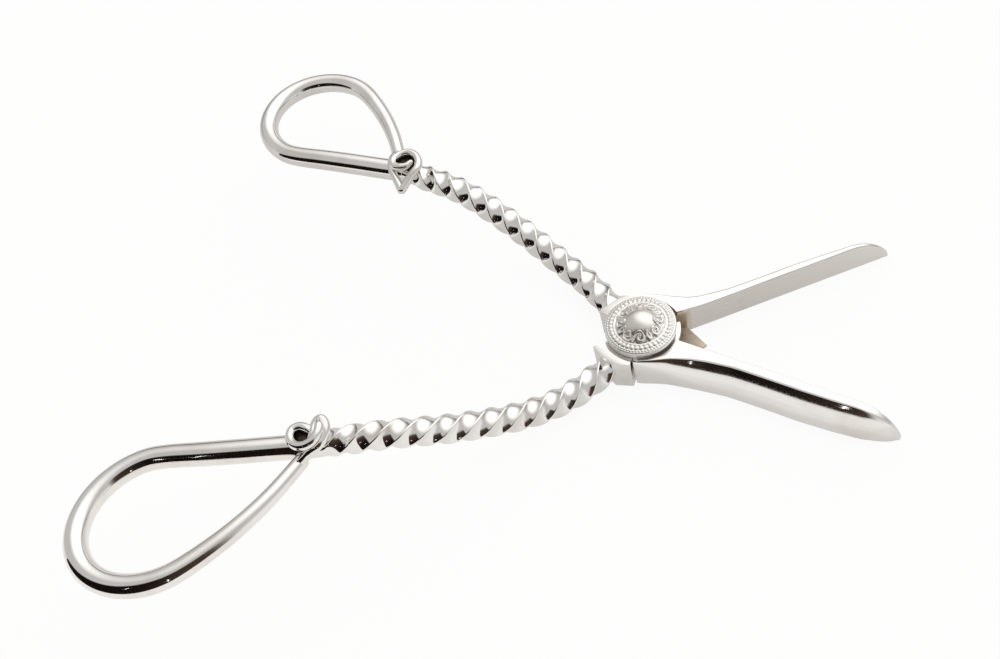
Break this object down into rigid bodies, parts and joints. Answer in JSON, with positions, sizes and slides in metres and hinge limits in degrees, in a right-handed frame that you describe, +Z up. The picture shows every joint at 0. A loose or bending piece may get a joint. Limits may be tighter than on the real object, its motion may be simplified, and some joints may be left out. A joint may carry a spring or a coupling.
{
  "type": "grape shears",
  "caption": "Silver table shears for cutting grape stalks: crossing levers with short stout blades, twisted stems, teardrop finger loops and a beaded rosette over the pivot.",
  "frame": {"origin": "on the pivot axis, at the flat underside of the joint", "axes": "+Z up along the pivot axis towards the rosette, +X forward between the blades, +Y towards the far handle"},
  "size_m": [0.1504, 0.1406, 0.0239],
  "materials": {
    "silver": "polished silver plate with light wear",
    "pivot_steel": "turned steel"
  },
  "bodies": {
    "near_lever": {"far_blade": "silver", "near_stem": "silver", "near_loop": "silver", "near_tendril": "silver", "rosette": "silver", "pivot_screw": "pivot_steel", "pivot_nut": "pivot_steel"},
    "far_lever": {"near_blade": "silver", "far_stem": "silver", "far_loop": "silver", "far_tendril": "silver"}
  },
  "joints": [
    {"name": "pivot", "type": "hinge", "parent": "near_lever", "child": "far_lever", "pos_m": [0, 0, 0.0038], "axis": [0, 0, 1], "range_deg": [-2, 47.9]}
  ]
}
